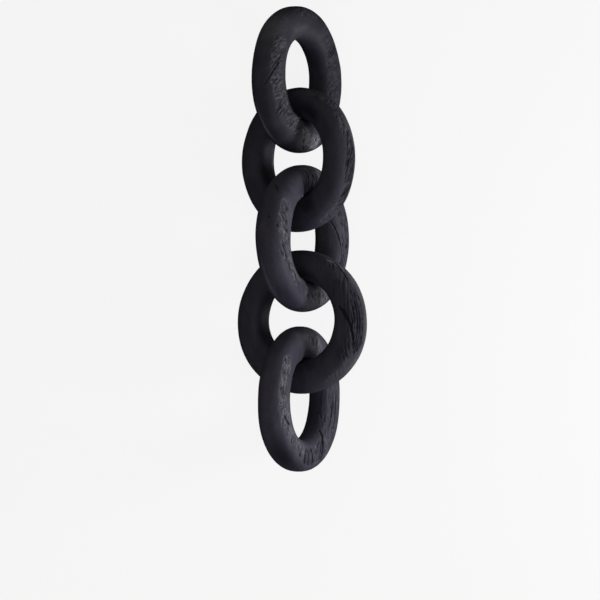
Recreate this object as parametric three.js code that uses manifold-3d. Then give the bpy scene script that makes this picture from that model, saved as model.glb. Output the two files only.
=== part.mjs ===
// A carved wooden chain: five loose rings of wood, linked through each other and laid out
// straight on a table. Each ring was sawn from a plank and rounded over by hand, so the
// section is a softened square and no two rings are quite the same size.
// Millimetres, +Z up, the table at z = 0, the chain along Y. The origin is on the table,
// below the middle of the chain. Looking down, the rings lean to the right and to the left
// in turn, as linked rings do.

import * as THREE from "three";
import { mergeVertices } from "three/addons/utils/BufferGeometryUtils.js";
import Module from "manifold-3d";

// Driving dimensions

// Wood section: the power of the rounded square (2 is an ellipse, more is squarer).
const SQUARENESS = 2.4;
// Depth of the flat spot where a ring rests on the table.
const REST_FLAT_DEPTH = 0.8;
// How far the knife wandered from the true ring, as broad, shallow facets.
const KNIFE_DEPTH = 0.45;
// Its strokes as three waves. share: of that depth. turns, rolls: how often a wave repeats
// around the ring and around its section. sway: how far it swings to and fro around the
// section, in radians. shift: how far it moves from one ring to the next, in radians.
const KNIFE_WAVES = [
  { share: 0.5, turns: 3, rolls: 0, sway: 1, shift: 1.7 },
  { share: 0.3, turns: 5, rolls: -1, sway: 0, shift: 2.9 },
  { share: 0.2, turns: 7, rolls: 2, sway: 0, shift: 4.1 },
];
// The block that planes the flat spots is a cube of this size, larger than the chain.
const TABLE_SIZE = 1000;
// Facets of one ring: around the ring, and around its section.
const AROUND = 48;
const SECTION = 20;

// along, across: where the ring's centre lies, in plan.
// lean: degrees between the ring and the table.
// rises: -1 where the ring's high side is to the left (-X), 1 where it is to the right.
// radius: of the ring's centre line. wide, thick: half the wood, across the ring's face
// and through it. taper: what the +Y end has less, and the -Y end more, of that width.
// waist: what both ends have less of it than the sides.
// height: of the centre. Only a ring that is held up by its neighbours has one; the
// others rest on the table.
const RINGS = [
  { name: "ring_1_far_end", along: 220.4, across: -2.6, lean: 59.8, rises: -1,
    radius: 56.6, wide: 16.8, thick: 15.6, taper: 0.3, waist: 0 },
  { name: "ring_2", along: 141.5, across: -2.1, lean: 44.1, rises: 1,
    radius: 56.9, wide: 15.8, thick: 14.9, taper: 0.8, waist: 0 },
  { name: "ring_3_middle", along: 61.6, across: 3.1, lean: 59.8, rises: -1,
    radius: 58.6, wide: 15.9, thick: 15.6, taper: 0, waist: 0.9 },
  { name: "ring_4", along: -21, across: 1.5, lean: 29.8, rises: 1,
    radius: 56.1, wide: 16, thick: 14.5, taper: 0.9, waist: 0, height: 61 },
  { name: "ring_5_near_end", along: -98.9, across: -0.3, lean: 63.2, rises: -1,
    radius: 56.5, wide: 16.2, thick: 15, taper: 0.3, waist: 0 },
];

const wasm = await Module();
wasm.setup();

// Cosine or sine of a rounded square: the same sign, pushed out towards the corners.
function squared(wave) {
  return Math.sign(wave) * Math.abs(wave) ** (2 / SQUARENESS);
}

// The knife's broad facets, as a height over the true surface. turn is the angle around
// the ring, roll the angle around its section, and number is the ring's own.
function knifeFacets(turn, roll, number) {
  let height = 0;
  for (const { share, turns, rolls, sway, shift } of KNIFE_WAVES) {
    const angle = turns * turn + rolls * roll + sway * Math.sin(roll) + shift * number;
    height += share * Math.sin(angle);
  }
  return KNIFE_DEPTH * height;
}

// One ring lying flat around the origin, its +Y end at turn 0 and its axis along Z.
function ringGeometry(ring, number) {
  const positions = [];
  const faces = [];
  for (let i = 0; i < AROUND; i++) {
    const turn = (2 * Math.PI * i) / AROUND;
    const wide = ring.wide - ring.taper * Math.cos(turn) - ring.waist * Math.cos(2 * turn);
    const thick = (wide * ring.thick) / ring.wide;
    for (let j = 0; j < SECTION; j++) {
      const roll = (2 * Math.PI * j) / SECTION;
      const facet = knifeFacets(turn, roll, number);
      const reach = ring.radius + squared(Math.cos(roll)) * (wide + facet);
      const rise = squared(Math.sin(roll)) * (thick + facet);
      positions.push(-reach * Math.sin(turn), reach * Math.cos(turn), rise);
      const nextI = (i + 1) % AROUND;
      const nextJ = (j + 1) % SECTION;
      const here = i * SECTION + j;
      const above = i * SECTION + nextJ;
      const beside = nextI * SECTION + j;
      const across = nextI * SECTION + nextJ;
      faces.push(here, beside, across, here, across, above);
    }
  }
  const geometry = new THREE.BufferGeometry();
  geometry.setAttribute("position", new THREE.Float32BufferAttribute(positions, 3));
  geometry.setIndex(faces);
  return geometry;
}

function toSolid(geometry) {
  const bare = geometry.clone();
  bare.deleteAttribute("normal");
  bare.deleteAttribute("uv");
  const merged = mergeVertices(bare);
  return new wasm.Manifold(new wasm.Mesh({
    numProp: 3,
    vertProperties: merged.attributes.position.array,
    triVerts: new Uint32Array(merged.index.array),
  }));
}

function toGeometry(solid) {
  const mesh = solid.getMesh();
  const geometry = new THREE.BufferGeometry();
  geometry.setAttribute("position", new THREE.BufferAttribute(mesh.vertProperties, 3));
  geometry.setIndex(new THREE.BufferAttribute(mesh.triVerts, 1));
  return geometry;
}

// The ring at its lean and its place in plan, at the height at which it rests: either
// pressed REST_FLAT_DEPTH into the table, or at its own height between its neighbours.
function leaned(ring, number) {
  const geometry = ringGeometry(ring, number);
  geometry.rotateY(-ring.rises * THREE.MathUtils.degToRad(ring.lean));
  geometry.computeBoundingBox();
  const height = ring.height ?? -geometry.boundingBox.min.z - REST_FLAT_DEPTH;
  geometry.translate(ring.across, ring.along, height);
  return geometry;
}

// Everything below the table, which planes the flat spot on each ring that rests there.
function tableBlock() {
  const cube = new THREE.BoxGeometry(TABLE_SIZE, TABLE_SIZE, TABLE_SIZE);
  return toSolid(cube.translate(0, 0, -TABLE_SIZE / 2));
}

function carvedRing(ring, number, table) {
  const geometry = leaned(ring, number);
  if (ring.height === undefined) {
    return toGeometry(toSolid(geometry).subtract(table));
  }
  return geometry;
}

const blackWood = new THREE.MeshStandardMaterial({
  color: 0x29282d,
  roughness: 0.62,
  metalness: 0,
});

const chain = new THREE.Group();
chain.name = "wooden_chain";
const table = tableBlock();
RINGS.forEach((ring, index) => {
  const mesh = new THREE.Mesh(carvedRing(ring, index + 1, table), blackWood.clone());
  mesh.name = ring.name;
  chain.add(mesh);
});

// The middle of the footprint comes to the origin.
const box = new THREE.Box3().setFromObject(chain);
const middle = box.getCenter(new THREE.Vector3());
chain.children.forEach((mesh) => mesh.position.set(-middle.x, -middle.y, 0));

export default chain;
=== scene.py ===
# %% [markdown]
# # A carved chain of black wooden rings
# Five thick rings of wood, linked through each other and laid out straight on a table.
# Each ring was sawn from a plank, split once to link it, glued shut, rounded over by hand
# and stained black. This lesson spins each ring with bmesh, carves the wood's grain into
# the mesh with a few lines of noise, and finishes it with a stain that is a node material.

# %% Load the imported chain, the fixed frame of every piece
import itertools
import math

import bmesh
import bpy
import numpy as np
from mathutils import Matrix, Vector


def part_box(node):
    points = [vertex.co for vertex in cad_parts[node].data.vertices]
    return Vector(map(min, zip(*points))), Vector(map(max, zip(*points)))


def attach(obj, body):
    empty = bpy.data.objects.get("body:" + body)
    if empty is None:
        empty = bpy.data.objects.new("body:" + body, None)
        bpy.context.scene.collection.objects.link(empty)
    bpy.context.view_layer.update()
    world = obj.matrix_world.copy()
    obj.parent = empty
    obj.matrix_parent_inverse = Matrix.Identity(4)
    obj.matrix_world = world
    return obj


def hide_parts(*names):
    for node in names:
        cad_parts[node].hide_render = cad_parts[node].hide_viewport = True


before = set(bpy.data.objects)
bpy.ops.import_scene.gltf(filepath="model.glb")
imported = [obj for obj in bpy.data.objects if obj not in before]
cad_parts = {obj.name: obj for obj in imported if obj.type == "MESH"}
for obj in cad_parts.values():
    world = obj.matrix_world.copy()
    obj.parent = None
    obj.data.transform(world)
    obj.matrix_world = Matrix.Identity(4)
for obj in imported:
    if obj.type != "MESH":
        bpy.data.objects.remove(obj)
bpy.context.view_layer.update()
MM = 0.001
print("rings in the frame:", sorted(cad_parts))

# %% [markdown]
# ## The camera
# The photo was taken at a right angle to the chain. The chain lies on the table, so the
# camera hangs straight above it and looks down. A long lens far away keeps the rings' sizes
# true. The photo is 600 pixels wide and the frame it shows is 600 mm wide at the height of
# the rings' middle, so one pixel is one millimetre.

# %% Camera
MID_HEIGHT = 64 * MM
CAMERA_DISTANCE = 2.5
PHOTO_CENTRE = Vector((-1.6, -61, 0)) * MM
LENS = 150
SENSOR = 36
FARTHEST_SEEN = 20

camera_data = bpy.data.cameras.new("camera")
camera_data.lens = LENS
camera_data.sensor_width = SENSOR
camera_data.clip_end = FARTHEST_SEEN
camera = bpy.data.objects.new("camera", camera_data)
camera.location = PHOTO_CENTRE + Vector((0, 0, MID_HEIGHT + CAMERA_DISTANCE))
bpy.context.scene.collection.objects.link(camera)
bpy.context.scene.camera = camera
print("view width at the rings, mm:", round(CAMERA_DISTANCE * SENSOR / LENS / MM))

# %% [markdown]
# ## The rings' sizes
# No two hand-cut rings are alike. Each has its own place, lean, radius and wood section.
# These are the sizes that the solids were made from, in millimetres and degrees.

# %% Sizes of the rings
SQUARENESS = 2.4
REST_FLAT_DEPTH = 0.8
KNIFE_DEPTH = 0.45
# share of that depth, waves around the ring, waves around the wood, sway, shift per ring
KNIFE_WAVES = [(0.5, 3, 0, 1, 1.7), (0.3, 5, -1, 0, 2.9), (0.2, 7, 2, 0, 4.1)]

RINGS = [
    dict(node="ring_1_far_end", along=220.4, across=-2.6, lean=59.8, rises=-1,
         radius=56.6, wide=16.8, thick=15.6, taper=0.3, waist=0, height=None),
    dict(node="ring_2", along=141.5, across=-2.1, lean=44.1, rises=1,
         radius=56.9, wide=15.8, thick=14.9, taper=0.8, waist=0, height=None),
    dict(node="ring_3_middle", along=61.6, across=3.1, lean=59.8, rises=-1,
         radius=58.6, wide=15.9, thick=15.6, taper=0, waist=0.9, height=None),
    dict(node="ring_4", along=-21, across=1.5, lean=29.8, rises=1,
         radius=56.1, wide=16, thick=14.5, taper=0.9, waist=0, height=61),
    dict(node="ring_5_near_end", along=-98.9, across=-0.3, lean=63.2, rises=-1,
         radius=56.5, wide=16.2, thick=15, taper=0.3, waist=0, height=None),
]

# %% [markdown]
# ## One bare ring
# A ring could be Blender's torus, but its section is a perfect circle. Spinning a section
# around an axis gives the same closed loop of quads, and the section can be any shape. The
# circle is drawn first, spun in small steps and merged where it closes, and its vertices
# keep the two angles that place them: turn around the ring, and roll around the wood.

# %% Spin a ring
ARC_COPIES = 12
ARC_STEPS = 46
SECTION_STEPS = 178
# Vertices closer than this, in mm, are merged where the arcs meet.
SEAM = 0.01


def sort_faces(shape):
    """Puts the faces in the order of their corners, which is the same in each run."""
    shape.verts.index_update()
    many = len(shape.verts)
    shape.faces.sort(key=lambda face: face.verts[0].index * many + face.verts[2].index)


def spun_ring(name, radius, half_wood):
    """A closed ring of quads lying flat, round in section: one arc spun, then copied."""
    arc = 2 * math.pi / ARC_COPIES
    spin = dict(cent=(0, 0, 0), axis=(0, 0, 1))
    shape = bmesh.new()
    stand_up = Matrix.Translation((0, radius, 0)) @ Matrix.Rotation(math.pi / 2, 4, "Y")
    circle = bmesh.ops.create_circle(
        shape, segments=SECTION_STEPS, radius=half_wood, matrix=stand_up)
    bmesh.ops.spin(shape, geom=circle["verts"] + shape.edges[:], angle=arc,
                   steps=ARC_STEPS, **spin)
    bmesh.ops.spin(shape, geom=shape.verts[:] + shape.edges[:] + shape.faces[:],
                   angle=2 * math.pi - arc, steps=ARC_COPIES - 1, use_duplicate=True, **spin)
    bmesh.ops.remove_doubles(shape, verts=shape.verts, dist=SEAM)
    bmesh.ops.recalc_face_normals(shape, faces=shape.faces)
    sort_faces(shape)
    mesh = bpy.data.meshes.new(name)
    shape.to_mesh(mesh)
    shape.free()
    return mesh


def corners(mesh):
    """The mesh's vertices as an array, one row each."""
    flat = np.empty(len(mesh.vertices) * 3)
    mesh.vertices.foreach_get("co", flat)
    return flat.reshape(-1, 3)


def ring_angles(points, radius):
    """Turn around the ring, from its +Y end, and roll around the wood, from outside."""
    turn = np.arctan2(-points[:, 0], points[:, 1])
    reach = np.hypot(points[:, 0], points[:, 1])
    roll = np.arctan2(points[:, 2], reach - radius)
    return turn, roll


# %% [markdown]
# ## The carver's hand
# The saw left a square section and the knife rounded it, so it is a softened square. The
# knife wandered by about half a millimetre, which leaves broad shallow facets. The solids
# have both, from the same formulas, so the fine ring keeps their form.

# %% Section and facets
def squared(wave):
    """Cosine or sine of a rounded square."""
    return np.sign(wave) * np.abs(wave) ** (2 / SQUARENESS)


def knife_facets(turn, roll, number):
    height = 0
    for share, turns, rolls, sway, shift in KNIFE_WAVES:
        angle = turns * turn + rolls * roll + sway * np.sin(roll) + shift * number
        height = height + share * np.sin(angle)
    return KNIFE_DEPTH * height


def carved_form(ring, number, turn, roll, relief):
    """Points of the ring lying flat, in mm. Relief is added over the true surface."""
    wide = ring["wide"] - ring["taper"] * np.cos(turn) - ring["waist"] * np.cos(2 * turn)
    thick = wide * ring["thick"] / ring["wide"]
    facet = knife_facets(turn, roll, number) + relief
    reach = ring["radius"] + squared(np.cos(roll)) * (wide + facet)
    rise = squared(np.sin(roll)) * (thick + facet)
    return np.stack([-reach * np.sin(turn), reach * np.cos(turn), rise], axis=1)


# %% [markdown]
# ## Noise for wood
# Wood is a solid pattern: a board shows lines on its side and dots on its end because both
# cut through the same fibres. So the grain is worked out in space, at each vertex, and not
# painted on the surface. It needs smooth random numbers over space. Each whole-number point
# gets its own number, and the points between blend the eight around them.

# %% Lattice noise
# Large odd numbers, which scatter the bits of the whole numbers they multiply.
AXIS_FACTORS = (73856093, 19349663, 83492791)
SEED_FACTOR = 40503
MIX_FACTOR = 1274126177
# The bits that are kept while mixing and at the end, and about half of the largest result.
WIDE_BITS = 0x7FFFFFFF
KEPT_BITS = 0xFFFF
HALF_RANGE = 0x7FFF


def scramble(cell, seed):
    """A repeatable random number from -1 to 1 for each whole-number point."""
    mixed = np.bitwise_xor.reduce(cell * np.array(AXIS_FACTORS), axis=1)
    mixed = (mixed ^ seed * SEED_FACTOR) & WIDE_BITS
    mixed = (mixed ^ mixed >> 13) * MIX_FACTOR & WIDE_BITS
    mixed = (mixed ^ mixed >> 16) & KEPT_BITS
    return mixed / HALF_RANGE - 1


def noise(points, cell_size, seed):
    """Smooth random heights from -1 to 1; cell_size is the size of a bump, per axis."""
    place = points / np.asarray(cell_size, float)
    cell = np.floor(place).astype(np.int64)
    part = place - cell
    part = part * part * (3 - 2 * part)
    total = np.zeros(len(place))
    for corner in itertools.product((0, 1), repeat=3):
        weight = np.where(corner, part, 1 - part).prod(axis=1)
        total += weight * scramble(cell + corner, seed)
    return total


def smooth_step(low, high, values):
    share = np.clip((values - low) / (high - low), 0, 1)
    return share * share * (3 - 2 * share)


# %% [markdown]
# ## The grain of each ring
# The fibres run straight through a ring, at the angle the plank had under the saw. Around
# the tree's heart lie the growth rings, soft spring wood between hard summer lines. Brushing
# wears the soft wood down, and the hard lines stand out as fine ridges: parallel on the
# side of the wood, flame-shaped where a growth ring is cut at a slant, and arcs on the ends.

# %% Grain directions
# slant: degrees in the ring's plane between its fibres and the ring's own X.
# dip: degrees by which the fibres leave that plane.
# heart: where the tree's heart lies, in mm, beside the fibres in the plane and above it.
# line_gap: mm between growth rings. brushed: how deep the soft wood is worn, in mm.
GRAIN = {
    "ring_1_far_end": dict(slant=31, dip=4, heart=(-125, -40), line_gap=3, brushed=0.4),
    "ring_2": dict(slant=-78, dip=24, heart=(-60, -80), line_gap=2.8, brushed=0.6),
    "ring_3_middle": dict(slant=-63, dip=3, heart=(85, -60), line_gap=3, brushed=0.7),
    "ring_4": dict(slant=-84, dip=9, heart=(-95, 40), line_gap=4.2, brushed=0.9),
    "ring_5_near_end": dict(slant=86, dip=5, heart=(30, -75), line_gap=3.4, brushed=0.9),
}


def grain_axes(grain):
    """Along the fibres, beside them in the ring's plane, and above them."""
    slant = math.radians(grain["slant"])
    dip = math.radians(grain["dip"])
    along = Vector((math.cos(slant) * math.cos(dip), math.sin(slant) * math.cos(dip),
                    math.sin(dip)))
    beside = Vector((-math.sin(slant), math.cos(slant), 0))
    above = along.cross(beside)
    return np.array([along, beside, above])


# %% Growth rings
# Sizes of the bends in the growth rings, in mm: along the fibres, beside and above them.
WARP_SIZE = (60, 22, 22)
FINE_WARP_SIZE = (25, 5, 5)
# How far they bend, in mm.
WARP = 3.5
FINE_WARP = 0.5
# How soft a year's wood is, from 0 to 1: on average, and how much that differs by year.
YEAR_SOFTNESS = 0.55
YEAR_SPREAD = 0.45
# Each ring's noises take their seeds from its own block of this many.
SEEDS = 10


def growth_softness(place, grain, number):
    """0 on the hard summer lines, up to 1 between them. place is in the fibres' axes."""
    bends = [noise(place, WARP_SIZE, number * SEEDS + axis) for axis in range(2)]
    warp = np.stack(bends, axis=1)
    fine_warp = noise(place, FINE_WARP_SIZE, number * SEEDS + 3)
    offset = place[:, 1:] - np.array(grain["heart"]) + WARP * warp
    from_heart = np.hypot(*offset.T) + FINE_WARP * fine_warp
    layer = from_heart / grain["line_gap"]
    whole = np.floor(layer)
    year = np.stack([whole, whole * 0, whole * 0], axis=1).astype(np.int64)
    softness = np.sin(math.pi * (layer - whole)) ** 2
    return softness * (YEAR_SOFTNESS + YEAR_SPREAD * scramble(year, number))


# %% Fibres, pores and waves
# Sizes in mm, as above.
FIBRE_SIZE = (24, 1.7, 1.7)
PORE_SIZE = (5, 1.8, 1.8)
WAVE_SIZE = (20, 10, 10)
# Depths in mm where the wood is fully torn: a fibre's on average, and a pore's at most.
FIBRE_DEPTH = 0.5
PORE_DEPTH = 0.65
# Average depth in mm of the waves that the knife left everywhere.
WAVE_DEPTH = 0.16
# The shares of these depths that sound wood has.
SOUND_BRUSHED = 0.03
SOUND_FIBRES = 0.05
SOUND_PORES = 0.02
# The noise at which a pore begins, and at which it is fully deep.
PORE_EDGE = (0.2, 0.7)


def wood_relief(points, grain, number, torn):
    """How far the surface is worn down at each point, in mm (never above 0)."""
    place = points @ grain_axes(grain).T
    fibres = noise(place, FIBRE_SIZE, number * SEEDS + 5)
    pores = smooth_step(*PORE_EDGE, noise(place, PORE_SIZE, number * SEEDS + 6))
    waves = noise(place, WAVE_SIZE, number * SEEDS + 7)
    worn = grain["brushed"] * growth_softness(place, grain, number) * (SOUND_BRUSHED + torn)
    worn += FIBRE_DEPTH * (1 + fibres) * (SOUND_FIBRES + torn)
    worn += PORE_DEPTH * pores * (SOUND_PORES + torn)
    worn += WAVE_DEPTH * (1 + waves)
    return -worn


# %% [markdown]
# ## Cracks, nicks and the glued joints
# Each mark is a short stroke on the surface, from one pair of angles to another, with a
# width and a depth. A crack follows the grain, a nick is short and deep, and a joint line
# runs around the wood where the split ring was glued shut.

# %% Marks
# turn and roll of the start, turn and roll of the end, width in mm, depth in mm
MARKS = {
    "ring_1_far_end": [
        (98, 16, 76, 88, 1.8, 1.0), (87, 40, 74, 76, 1.4, 0.7), (88, 60, 59, 95, 1.2, 0.6),
        (122, 36, 117, 88, 1.7, 1.0), (119, 46, 114, 86, 1.5, 0.9), (126, 34, 122, 80, 1.3, 0.7),
        (-56, 120, -52, 69, 1.7, 1.0), (-59, 117, -56, 72, 1.6, 0.9), (-52, 120, -49, 84, 1.4, 0.7),
        (-3, 56, -6, 111, 1.2, 0.5), (8, 59, 4, 100, 1.1, 0.4), (-16, 44, -14, 92, 1.3, 0.5),
        (166, 110, 172, 45, 1.8, 0.9), (167, 72, 170, 62, 2.4, 1.1), (173, 42, 176, 34, 2.2, 1.1),
        (-168, 84, -171, 74, 2.0, 0.9),
    ],
    "ring_2": [
        (-84, -8, -104, 18, 2.0, 1.0), (-112, -34, -126, 18, 2.1, 1.1),
        (-96, -14, -112, 4, 1.6, 0.8), (-88, 12, -102, 26, 1.4, 0.6),
        (-24, 21, -34, 48, 1.2, 0.4), (-70, -2, -86, 12, 1.3, 0.5),
    ],
    "ring_3_middle": [
        (44, -8, 55, 26, 1.3, 0.7), (74, 4, 75, 12, 2.2, 1.0), (80, 40, 82, 48, 2.4, 1.1),
        (-62, 156, -118, 92, 1.7, 1.1), (101, 52, 107, 70, 2.0, 0.8), (96, 64, 101, 76, 1.6, 0.7),
        (12, 70, 16, 120, 1.8, 1.0), (4, 74, 8, 118, 1.6, 0.9), (-3, 76, 1, 116, 1.4, 0.8),
        (18, 84, 22, 116, 1.5, 0.8),
    ],
    "ring_4": [
        (-34, 10, -54, 28, 1.8, 1.0), (-74, 100, -112, 38, 3.6, 1.4),
        (-62, 41, -112, 36, 1.6, 0.9), (-66, 30, -118, 26, 1.6, 0.9),
        (-70, 56, -104, 50, 1.4, 0.7), (-60, 14, -120, 8, 1.4, 0.6),
        (-80, 66, -98, 58, 1.5, 0.6),
    ],
    "ring_5_near_end": [
        (3, 54, -4, 98, 1.8, 0.9), (-4, 60, -11, 92, 1.5, 0.6), (103, 74, 114, 92, 2.2, 1.0),
        (93, 40, 96, 96, 1.0, 0.35), (177, 120, 181, 58, 2.8, 1.6),
        (-140, 152, -164, 60, 3.0, 1.6), (-172, 112, -172, 66, 1.6, 0.9),
        (-160, 104, -160, 60, 1.8, 1.0), (-84, 120, -128, 116, 1.7, 0.9),
        (-78, 100, -124, 92, 1.6, 0.8),
    ],
}
print("marks:", sum(len(strokes) for strokes in MARKS.values()))

# %% [markdown]
# ## Swellings where the rings cross
# Rings of this even form leave chinks of light where they cross, and the photo shows none:
# hand-cut wood is fuller there. A few low swellings, placed as the marks are, close them.

# %% Swellings
# as the marks, with a height in mm
SWELLINGS = {
    "ring_1_far_end": [(146, 112, 160, 124, 13, 1.7)],
    "ring_2": [(-8, 150, -18, 152, 13, 1.6), (-157, 135, -152, 134, 13, 1.5)],
    "ring_3_middle": [(32, 120, 38, 115, 13, 1.4), (150, 120, 155, 121, 12, 1.5)],
    "ring_4": [(-8, 147, -12, 150, 12, 1.5), (-176, 143, -172, 141, 12, 1.2)],
    "ring_5_near_end": [(33, 122, 27, 130, 12, 1.2)],
}

# %% [markdown]
# ## Torn and stained places, and painted light
# Where the saw or the knife tore the grain, the wood is rough, and the stain took badly and
# was rubbed pale. Other places are only paler, along worn edges, or darker, where dye
# pooled. Some strokes are painted light instead: thin pale lines along edges are painted
# highlights, a few broad pale strokes are painted light, and dark strokes where the rings
# cross and on inner faces are painted shade. They are broad strokes, with ragged edges where
# the wood is torn.

# %% Torn, pale and dyed places, with painted highlights and shade
# turn and roll of the start, turn and roll of the end, width in mm, how torn, how pale. A
# last number below 0 says how much darker the stain is. Pale is rubbed stain, and on the
# strokes noted below painted light; darker is pooled dye, and on the strokes noted below
# painted shade.
WORN_AND_PAINTED_LIGHT = {
    "ring_1_far_end": [
        (60, 58, 95, 66, 17, 0.65, 0.4), (95, 66, 148, 92, 18, 0.7, 0.45),
        (170, 88, 192, 62, 17, 0.4, 1), (16, 52, -8, 56, 14, 0.6, 0.15),
        # Ring 1: the broad pale stroke from turn 66 to 26 is painted light on the ring's top.
        (-38, 95, -100, 108, 24, 0.65, 0.15), (66, 8, 26, 30, 44, 0, 0.35),
        # The pale stroke from turn 44 to 6 is a painted highlight on the inner top edge.
        (44, 96, 6, 106, 11, 0, 0.25), (-30, 110, -46, 100, 20, 0, 0.1),
        # The thin pale stroke from turn 112 to 156 is a painted highlight along the lower outer
        # edge.
        (112, -27, 156, -8, 6, 0, 0.6), (75, -5, 150, 10, 26, 0, -0.3),
    ],
    "ring_2": [
        (-55, 18, -85, 0, 9, 0.7, 0.3), (-85, -2, -125, -14, 12, 0.9, 0.15),
        (-125, -12, -148, 8, 10, 0.8, 0.3), (-8, 52, -46, 4, 10, 0.5, 0.2),
        # Ring 2: the thin pale stroke from turn 68 to 125 is a painted highlight along the lower
        # inner edge.
        (68, -158, 125, -162, 6, 0, 0.5), (-40, -34, -170, -32, 24, 0, -0.8),
        # The dark stroke from turn 30 to 160 is painted shade on the inner face, and the one from
        # turn -2 to -56 is painted shade where ring 1 crosses.
        (30, 160, 160, 156, 34, 0, -0.9), (-2, 100, -56, 98, 24, 0, -0.85),
        # The dark stroke from turn -164 to -136 is painted shade where ring 3 crosses.
        (-164, 100, -136, 86, 20, 0, -0.6), (-76, 16, -122, 12, 8, 0, -0.55),
        # The thin pale stroke from turn -56 to -128 is a painted highlight along the outer right
        # edge.
        (-56, 0, -128, -10, 3, 0, 0.6),
    ],
    "ring_3_middle": [
        (62, 60, 97, 84, 13, 0.9, 0.7), (97, 84, 140, 104, 13, 0.9, 0.65),
        (164, 108, 198, 74, 17, 0.8, 0.7), (14, 60, -14, 90, 18, 0.7, 0.4),
        # Ring 3: the thin pale stroke from turn 106 to 146 is a painted highlight along the lower
        # outer edge.
        (-58, 92, -118, 88, 14, 1, 0.3), (106, -19, 146, -10, 6, 0, 0.45),
        # The pale stroke from turn -50 to -120 is painted light on the shaded inner face of the
        # right arm.
        (118, 30, 170, 34, 26, 0, -0.45), (-50, 178, -120, 178, 26, 0, 0.3),
    ],
    "ring_4": [
        (-36, 34, -72, 40, 12, 0.5, 0.1), (-72, 40, -112, 36, 18, 0.8, 0.15),
        (-112, 36, -148, 40, 8, 0.25, 0.2), (-56, 74, -118, 62, 22, 0.55, 0),
        # Ring 4: the thin pale stroke from turn 62 to 116 is a painted highlight along the lower
        # inner edge.
        (-30, 28, -44, 8, 5, 0.2, 0.7), (62, -163, 116, -163, 5, 0, 0.6),
        # The thin pale stroke from turn -112 to -150 is a painted highlight along the outer right
        # edge.
        (-112, 4, -150, -14, 4, 0, 0.5), (-20, -20, -165, -20, 38, 0, -0.9),
        # The dark stroke from turn 40 to 140 is painted shade on the inner face, and the one from
        # turn -2 to -36 is painted shade where ring 3 crosses.
        (40, 162, 140, 162, 36, 0, -0.9), (-2, 104, -36, 130, 22, 0, -0.7),
        # The dark stroke from turn -170 to -146 is painted shade where ring 5 crosses.
        (-170, 112, -146, 104, 18, 0, -0.5),
    ],
    "ring_5_near_end": [
        (50, 62, 90, 68, 12, 0.7, 0.75), (90, 68, 130, 90, 14, 0.8, 0.8),
        (130, 90, 160, 98, 12, 0.7, 0.7), (4, 80, -16, 96, 13, 0.5, 0.7),
        (168, 84, 204, 92, 20, 0.9, 0.2), (-68, 112, -130, 100, 24, 0.6, 0.2),
        (-60, 150, -120, 150, 18, 0.3, 0), (-80, 104, -128, 96, 7, 0.8, 0.45),
        # Ring 5: the dark stroke from turn 108 to 178 is painted shade on the lower left face.
        (45, 50, 100, 52, 10, 0, 0.25), (108, 14, 178, 46, 38, 0, -0.9),
        # The broad pale stroke from turn 64 to 16 is painted light on the upper left of the ring.
        (64, 26, 16, 46, 34, 0, 0.1), (16, 60, 7, 84, 12, 0, 0.5),
        (8, 56, 3, 94, 4, 0, 1), (-170, 116, -173, 66, 4, 0.3, 0.7),
        (-147, 110, -150, 58, 6, 0.5, 0.6),
    ],
}


# %% How far inside a stroke a point is
def stroke_fill(ring, points, turn, roll, stroke, ragged):
    """0 to 1: how far inside a stroke each point is, and its share along the stroke."""
    turn_a, roll_a, turn_b, roll_b, width = stroke
    reach = np.hypot(points[:, 0], points[:, 1])
    wood = 0.5 * (ring["wide"] + ring["thick"])
    away_turn = np.radians((np.degrees(turn) - turn_a + 180) % 360 - 180) * reach
    away_roll = np.radians((np.degrees(roll) - roll_a + 180) % 360 - 180) * wood
    run_turn = math.radians(turn_b - turn_a) * reach
    run_roll = math.radians(roll_b - roll_a) * wood
    share = (away_turn * run_turn + away_roll * run_roll) / (run_turn**2 + run_roll**2)
    share = np.clip(share, 0, 1)
    gap = np.hypot(away_turn - share * run_turn, away_roll - share * run_roll)
    return np.clip(1 - (gap + ragged) / (width / 2), 0, 1), share


def tapered(share, blunt, power):
    """1 in the middle of a stroke, less towards its ends. blunt: where the taper stops."""
    return np.sin(math.pi * np.clip(share, blunt, 1 - blunt)) ** power


# %% Marks and swellings at each point
# The wobble of a mark's edge: its height and size in mm, and its seed.
MARK_WOBBLE = 0.35
MARK_WOBBLE_SIZE = 3
MARK_SEED = 77
# A mark's taper, and the fill at which a swelling has its full height.
MARK_TAPER = dict(blunt=0.08, power=0.5)
SWELLING_FULL = 0.9


def marks_and_swellings(ring, points, turn, roll):
    """Depth of the cracks and nicks, and height of the swellings, in mm at each point."""
    wobble = MARK_WOBBLE * noise(points, MARK_WOBBLE_SIZE, MARK_SEED)
    cut, swelling = np.zeros((2, len(points)))
    for *stroke, depth in MARKS[ring["node"]]:
        fill, share = stroke_fill(ring, points, turn, roll, stroke, wobble)
        cut = np.maximum(cut, depth * tapered(share, **MARK_TAPER) * fill)
    for *stroke, height in SWELLINGS[ring["node"]]:
        fill = stroke_fill(ring, points, turn, roll, stroke, wobble)[0]
        swelling = np.maximum(swelling, height * smooth_step(0, SWELLING_FULL, fill))
    return cut, swelling


# %% Torn, pale and dyed places, with painted light, at each point
# The ragged edge of a torn place, as two noises: height in mm, size in mm, seed.
RAGGED_EDGE = [(2.5, 7, 31), (1.2, 2.5, 32)]
# An edge is less ragged in a stroke narrower than this, in mm, and where nothing is torn.
WIDE_STROKE = 14
CLEAN_EDGE = 0.5
# The fill at which a torn place is fully torn, and the taper of a place that isn't torn.
TORN_FULL = 0.4
STAIN_TAPER = dict(blunt=0.05, power=0.7)


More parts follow.
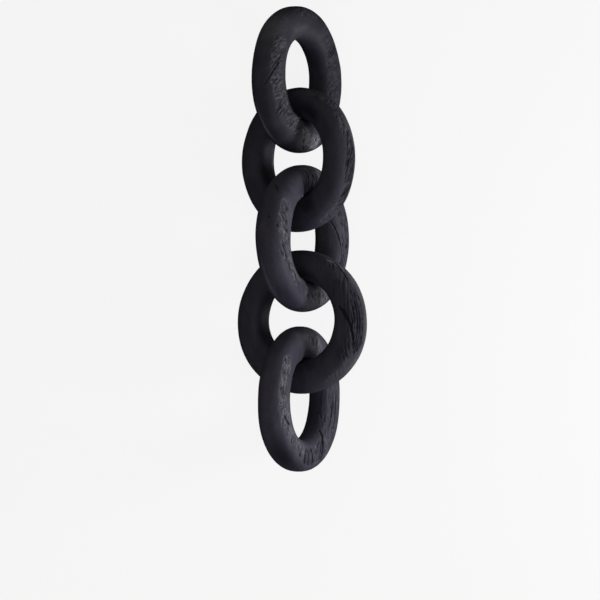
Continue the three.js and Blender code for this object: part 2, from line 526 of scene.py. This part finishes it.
def worn_and_painted_light_places(ring, points, turn, roll):
    """How torn the grain is, and how pale and how dark the stain, painted highlights and shade
    included, from 0 to 1 at each point.
    """
    ragged = sum(height * noise(points, size, seed) for height, size, seed in RAGGED_EDGE)
    torn, pale_and_painted_highlight, dyed_and_painted_shade = np.zeros((3, len(points)))
    for *stroke, tearing, paleness_and_painted_light in WORN_AND_PAINTED_LIGHT[ring["node"]]:
        edge = ragged * min(1, stroke[-1] / WIDE_STROKE) * (1 if tearing else CLEAN_EDGE)
        fill, share = stroke_fill(ring, points, turn, roll, stroke, edge)
        if tearing:
            fill = smooth_step(0, TORN_FULL, fill)
        else:
            fill = smooth_step(0, 1, fill) * tapered(share, **STAIN_TAPER)
        torn = np.maximum(torn, tearing * fill)
        # Pale holds rubbed stain and painted highlights; dyed holds pooled dye and painted shade.
        pale_and_painted_highlight = np.maximum(pale_and_painted_highlight, paleness_and_painted_light * fill)
        dyed_and_painted_shade = np.maximum(dyed_and_painted_shade, -paleness_and_painted_light * fill)
    return torn, pale_and_painted_highlight, dyed_and_painted_shade


# %% [markdown]
# ## Carving the five rings
# The relief is cut into the ring while it lies flat. Then the ring is leaned, lifted to the
# table's height and moved to its place, as its solid was, and what would reach below the
# table is planed off. How dark, torn and pale each vertex is, painted shade and highlights
# included, is kept as an attribute of the mesh, which the stain reads.

# %% Carve and place
# The solids were moved by this, in mm, so that the middle of their footprint is the origin.
PLAN_SHIFT = Vector((-1.583, -61.089, 0))
# How much darker the stain is for each mm that the wood is cut or worn.
DYE_BY_DEPTH = 0.6


def placed(ring, points):
    """The ring's points in the frame, in mm: leaned, resting, and in its place."""
    lean = Matrix.Rotation(-ring["rises"] * math.radians(ring["lean"]), 3, "Y")
    leaned = points @ np.array(lean).T
    return leaned + (ring["across"], ring["along"], 0) + np.array(PLAN_SHIFT)


def carve(mesh, ring, number):
    """Carves the spun ring, puts it in its place and keeps its wear and painted light as an
    attribute.
    """
    turn, roll = ring_angles(corners(mesh), ring["radius"])
    plain = carved_form(ring, number, turn, roll, 0)
    torn, pale_and_painted_highlight, dyed_and_painted_shade = worn_and_painted_light_places(ring, plain, turn, roll)
    cut, swelling = marks_and_swellings(ring, plain, turn, roll)
    relief = wood_relief(plain, GRAIN[ring["node"]], number, torn) + (swelling - cut)
    points = placed(ring, carved_form(ring, number, turn, roll, relief))
    height = ring["height"]
    if height is None:
        height = -placed(ring, plain)[:, 2].min() - REST_FLAT_DEPTH
    points[:, 2] = np.maximum(points[:, 2] + height, 0)
    mesh.vertices.foreach_set("co", (points * MM).ravel())
    wear_and_painted_light = mesh.attributes.new("wear_and_painted_light", "FLOAT_VECTOR", "POINT")
    # Darker where cut, worn or dyed, and painted darker as shade where the strokes say so.
    dark_and_painted_shade = dyed_and_painted_shade - (swelling - cut) - DYE_BY_DEPTH * relief
    wear_and_painted_light.data.foreach_set("vector", np.stack([dark_and_painted_shade, torn, pale_and_painted_highlight], axis=1).ravel())
    print(ring["node"], len(mesh.polygons), "quads; relief from", relief.min().round(2),
          "to", relief.max().round(2), "mm")


def farthest_from_solid(mesh, node):
    """How far the ring's box is from its solid's box, in mm, where they differ most."""
    points = corners(mesh)
    low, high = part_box(node)
    below = np.abs(points.min(axis=0) - low).max()
    above = np.abs(points.max(axis=0) - high).max()
    return max(below, above) / MM


def carved_ring(ring, number):
    mesh = spun_ring("carved_" + ring["node"], ring["radius"], ring["wide"])
    carve(mesh, ring, number)
    mesh.shade_smooth()
    piece = bpy.data.objects.new("carved_" + ring["node"], mesh)
    bpy.context.scene.collection.objects.link(piece)
    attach(piece, "root")
    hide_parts(ring["node"])
    print("farthest from the solid's box, mm:", farthest_from_solid(mesh, ring["node"]).round(2))
    return piece


pieces = [carved_ring(ring, index + 1) for index, ring in enumerate(RINGS)]

# %% [markdown]
# ## The black stain
# The stain is a thin black dye with a rubbed wax finish. Its colour is a very dark grey with
# a little violet in it. It is darkest in the cuts, because dye pools there, and painted darker
# as shade where the rings cross and on some inner faces. It is a paler grey where the torn
# wood was rubbed, and along some edges and faces as painted highlight. The fibres show as fine
# streaks of darker dye, and a bump too small for the mesh roughens the torn places. The
# streaks must follow each ring's fibres, so a Mapping node turns them, and the streaks
# themselves are one node group that every ring's stain uses.

# %% The streak group
# name, squeeze along the fibres, scale per metre, detail
STREAKS = [("Streak", 0.09, 800, 4), ("Speck", 0.45, 420, 3), ("Cloud", 0.4, 55, 2)]
STREAK_ROUGHNESS = 0.62


def add_socket(group, name, way, kind):
    return group.interface.new_socket(name=name, in_out=way, socket_type=kind)


def make_streak_group():
    """Wood in the fibres' own axes: fine streaks, specks and broad clouds, from 0 to 1."""
    group = bpy.data.node_groups.new("wood_streaks", "ShaderNodeTree")
    add_socket(group, "Along Fibres", "INPUT", "NodeSocketVector")
    source = group.nodes.new("NodeGroupInput")
    result = group.nodes.new("NodeGroupOutput")
    for name, stretch, scale, detail in STREAKS:
        add_socket(group, name, "OUTPUT", "NodeSocketFloat")
        squeeze = group.nodes.new("ShaderNodeVectorMath")
        squeeze.operation = "MULTIPLY"
        squeeze.inputs[1].default_value = (stretch, 1, 1)
        texture = group.nodes.new("ShaderNodeTexNoise")
        texture.inputs["Scale"].default_value = scale
        texture.inputs["Detail"].default_value = detail
        texture.inputs["Roughness"].default_value = STREAK_ROUGHNESS
        group.links.new(source.outputs["Along Fibres"], squeeze.inputs[0])
        group.links.new(squeeze.outputs[0], texture.inputs["Vector"])
        group.links.new(texture.outputs["Fac"], result.inputs[name])
    return group


streak_group = make_streak_group()


# %% Helpers for materials
def ranged(nodes, links, source, low, high, to_low=0, to_high=1):
    """A value moved from one range to another, and held inside it."""
    node = nodes.new("ShaderNodeMapRange")
    for name, number in (("From Min", low), ("From Max", high),
                         ("To Min", to_low), ("To Max", to_high)):
        node.inputs[name].default_value = number
    links.new(source, node.inputs["Value"])
    return node.outputs["Result"]


def combined(nodes, links, operation, first, second):
    node = nodes.new("ShaderNodeMath")
    node.operation = operation
    links.new(first, node.inputs[0])
    links.new(second, node.inputs[1])
    return node.outputs[0]


def mixed(nodes, links, share, first, second):
    """A blend of two colours, each given as a colour or as another node's output."""
    node = nodes.new("ShaderNodeMix")
    node.data_type = "RGBA"
    for name, colour in (("A", first), ("B", second)):
        if isinstance(colour, tuple):
            node.inputs[name].default_value = colour
        else:
            links.new(colour, node.inputs[name])
    links.new(share, node.inputs["Factor"])
    return node.outputs["Result"]


# %% What the stain reads
def fibre_patterns(nodes, links, ring):
    """Streaks, specks and clouds that follow the ring's own fibres, from 0 to 1."""
    place = nodes.new("ShaderNodeTexCoord")
    turned = nodes.new("ShaderNodeMapping")
    lean = Matrix.Rotation(-ring["rises"] * math.radians(ring["lean"]), 3, "Y")
    fibres = Matrix(grain_axes(GRAIN[ring["node"]])) @ lean.transposed()
    turned.inputs["Rotation"].default_value = fibres.to_euler()
    streaks = nodes.new("ShaderNodeGroup")
    streaks.node_tree = streak_group
    links.new(place.outputs["Object"], turned.inputs["Vector"])
    links.new(turned.outputs["Vector"], streaks.inputs["Along Fibres"])
    return streaks.outputs


def kept_wear_and_painted_light(nodes, links):
    """How deep the wood is cut or dyed, with painted shade, how torn, and how pale, with painted
    highlights, as kept while carving.
    """
    wear_and_painted_light = nodes.new("ShaderNodeAttribute")
    wear_and_painted_light.attribute_name = "wear_and_painted_light"
    parts = nodes.new("ShaderNodeSeparateXYZ")
    links.new(wear_and_painted_light.outputs["Vector"], parts.inputs[0])
    return parts.outputs


# %% The stain's colour
# The deep colour also fills the painted shade, and the pale colour the painted highlights.
DEEP_STAIN_AND_SHADE = (0.0048, 0.0038, 0.0088, 1)
STAIN_FULL = (0.0315, 0.0288, 0.042, 1)
PALE_AND_HIGHLIGHT_COLOUR = (0.14, 0.137, 0.153, 1)
# How strongly each ring reflects, against STAIN_FULL.
STRENGTH = {"ring_1_far_end": 0.75, "ring_2": 0.9, "ring_3_middle": 1.2,
            "ring_4": 0.95, "ring_5_near_end": 1.15}
# Each range reads a pattern from low to high, and gives a share from 0 to 1, or as named.
PALE_SPECKS = dict(low=0.4, high=0.62)
PALE_EVENLY = dict(low=0, high=0.7, to_low=0.6, to_high=0.1)
STREAKED = dict(low=0.35, high=0.65, to_low=0.3, to_high=0)
UNEVEN = dict(low=0.38, high=0.62, to_low=0.35, to_high=0)
SHADE_AND_DYE_RANGE = dict(low=0.3, high=1)


def stain_colour(nodes, links, ring, patterns, wear_and_painted_light):
    """Full stain, darker in clouds, streaks and cuts and painted shade, pale where rubbed and at
    painted highlights.
    """
    streak, speck, cloud = patterns
    # cut is the first part of the wear attribute: how dark the stain is from cuts, worn wood and
    # pooled dye, and from painted shade.
    cut, torn, pale_and_painted_highlight = wear_and_painted_light
    strength = STRENGTH[ring["node"]]
    full = tuple(channel * strength for channel in STAIN_FULL[:3]) + (1,)
    specks = ranged(nodes, links, speck, **PALE_SPECKS)
    even = ranged(nodes, links, torn, **PALE_EVENLY)
    rubbed_and_painted_highlight = combined(nodes, links, "MAXIMUM", specks, even)
    rubbed_and_painted_highlight = combined(nodes, links, "MULTIPLY", pale_and_painted_highlight, rubbed_and_painted_highlight)
    uneven = ranged(nodes, links, cloud, **UNEVEN)
    streaked = ranged(nodes, links, streak, **STREAKED)
    dye_and_shade_share = ranged(nodes, links, cut, **SHADE_AND_DYE_RANGE)
    colour = mixed(nodes, links, uneven, full, DEEP_STAIN_AND_SHADE)
    colour = mixed(nodes, links, streaked, colour, DEEP_STAIN_AND_SHADE)
    colour = mixed(nodes, links, rubbed_and_painted_highlight, colour, PALE_AND_HIGHLIGHT_COLOUR)
    return mixed(nodes, links, dye_and_shade_share, colour, DEEP_STAIN_AND_SHADE)


# %% The stain of one ring
WAX_GLOSS = 0.15
BUMP_STRENGTH = 0.6
BUMP_DEPTH = 0.0009
# Read from how torn the wood is: its roughness, and how much of the bump shows.
TORN_ROUGHNESS = dict(low=0, high=0.6, to_low=0.62, to_high=0.85)
TORN_BUMP = dict(low=0, high=0.8, to_low=0.08, to_high=1)


def fine_bump(nodes, links, speck, torn):
    """A bump too small for the mesh, which roughens the torn places."""
    bump = nodes.new("ShaderNodeBump")
    bump.inputs["Strength"].default_value = BUMP_STRENGTH
    bump.inputs["Distance"].default_value = BUMP_DEPTH
    shown = ranged(nodes, links, torn, **TORN_BUMP)
    height = combined(nodes, links, "MULTIPLY", speck, shown)
    links.new(height, bump.inputs["Height"])
    return bump.outputs["Normal"]


def black_stain(ring):
    material = bpy.data.materials.new("black_stain_" + ring["node"])
    material.use_nodes = True
    nodes, links = material.node_tree.nodes, material.node_tree.links
    shader = nodes["Principled BSDF"]
    shader.inputs["Specular IOR Level"].default_value = WAX_GLOSS
    patterns = fibre_patterns(nodes, links, ring)
    wear_and_painted_light = kept_wear_and_painted_light(nodes, links)
    speck, torn = patterns[1], wear_and_painted_light[1]
    colour = stain_colour(nodes, links, ring, patterns, wear_and_painted_light)
    roughness = ranged(nodes, links, torn, **TORN_ROUGHNESS)
    links.new(colour, shader.inputs["Base Color"])
    links.new(roughness, shader.inputs["Roughness"])
    links.new(fine_bump(nodes, links, speck, torn), shader.inputs["Normal"])
    return material


for ring, piece in zip(RINGS, pieces):
    piece.data.materials.append(black_stain(ring))
print("stained:", len(pieces), "rings")

# %% [markdown]
# ## Table and light
# The photo's background is a plain, nearly white surface with hardly a shadow, like a light
# table, so the table glows a little for the camera alone. Most of the light comes low from
# the right, so faces turned to the right are grey and show their grain, and the rest stays
# black. A card on the table at the right lights the rings from below. Weaker screens stand
# behind the far end, slightly yellow, and before the near end, and one hangs above.

# %% The table
TABLE_HALF_SIDE = 4
TABLE_TONE = (0.06, 0.06, 0.06, 1)
TABLE_ROUGHNESS = 0.9
TABLE_GLOSS = 0.1
TABLE_GLOW = 0.87
WHITE = (1, 1, 1, 1)


def table_finish():
    """Dull, with a glow that only the camera sees, so it lights nothing."""
    material = bpy.data.materials.new("pale_table")
    material.use_nodes = True
    nodes, links = material.node_tree.nodes, material.node_tree.links
    shader = nodes["Principled BSDF"]
    shader.inputs["Base Color"].default_value = TABLE_TONE
    shader.inputs["Roughness"].default_value = TABLE_ROUGHNESS
    shader.inputs["Specular IOR Level"].default_value = TABLE_GLOSS
    shader.inputs["Emission Color"].default_value = WHITE
    seen = nodes.new("ShaderNodeLightPath").outputs["Is Camera Ray"]
    glow = ranged(nodes, links, seen, low=0, high=1, to_low=0, to_high=TABLE_GLOW)
    links.new(glow, shader.inputs["Emission Strength"])
    return material


def pale_table():
    shape = bmesh.new()
    bmesh.ops.create_grid(shape, x_segments=1, y_segments=1, size=TABLE_HALF_SIDE)
    mesh = bpy.data.meshes.new("pale_table")
    shape.to_mesh(mesh)
    shape.free()
    mesh.materials.append(table_finish())
    table = bpy.data.objects.new("pale_table", mesh)
    bpy.context.scene.collection.objects.link(table)


pale_table()

# %% The screens
# What the screens point at, in metres: the middle of the chain, or a little before it.
RINGS_MIDDLE = (0, 0, 0.06)
NEAR_RINGS = (0, -0.05, 0.06)
# name, place and target in metres, size in metres, power in watts, colour
SCREENS = [
    ("card_right", (0.45, -0.16, 0.005), (0.45, -0.16, 1), (0.7, 0.7), 3.5, (1, 1, 1)),
    ("screen_right", (0.88, -0.14, 0.34), RINGS_MIDDLE, (0.4, 0.16), 8.5, (1, 1, 1)),
    ("screen_left", (-0.4, 0.9, 1.3), RINGS_MIDDLE, (1.2, 1.2), 4.5, (0.97, 1, 0.72)),
    ("screen_near", (0.05, -1.1, 0.75), NEAR_RINGS, (0.6, 0.6), 3.5, (1, 1, 1)),
    ("screen_above", (-0.1, -0.3, 1.4), NEAR_RINGS, (0.6, 0.6), 2, (1, 1, 1)),
]
ROOM_COLOUR = (0.95, 0.93, 1, 1)
ROOM_STRENGTH = 0.2


def soft_screen(name, place, target, size, power, colour):
    light = bpy.data.lights.new(name, "AREA")
    light.shape = "RECTANGLE"
    light.size, light.size_y = size
    light.energy = power
    light.color = colour
    lamp = bpy.data.objects.new(name, light)
    lamp.location = place
    look = Vector(target) - Vector(place)
    lamp.rotation_euler = look.to_track_quat("-Z", "Y").to_euler()
    lamp.visible_camera = False
    bpy.context.scene.collection.objects.link(lamp)


for screen in SCREENS:
    soft_screen(*screen)

world = bpy.data.worlds.new("room")
world.use_nodes = True
room = world.node_tree.nodes["Background"]
room.inputs["Color"].default_value = ROOM_COLOUR
room.inputs["Strength"].default_value = ROOM_STRENGTH
bpy.context.scene.world = world
bpy.context.scene.view_settings.view_transform = "Standard"
print("screens:", len(SCREENS))
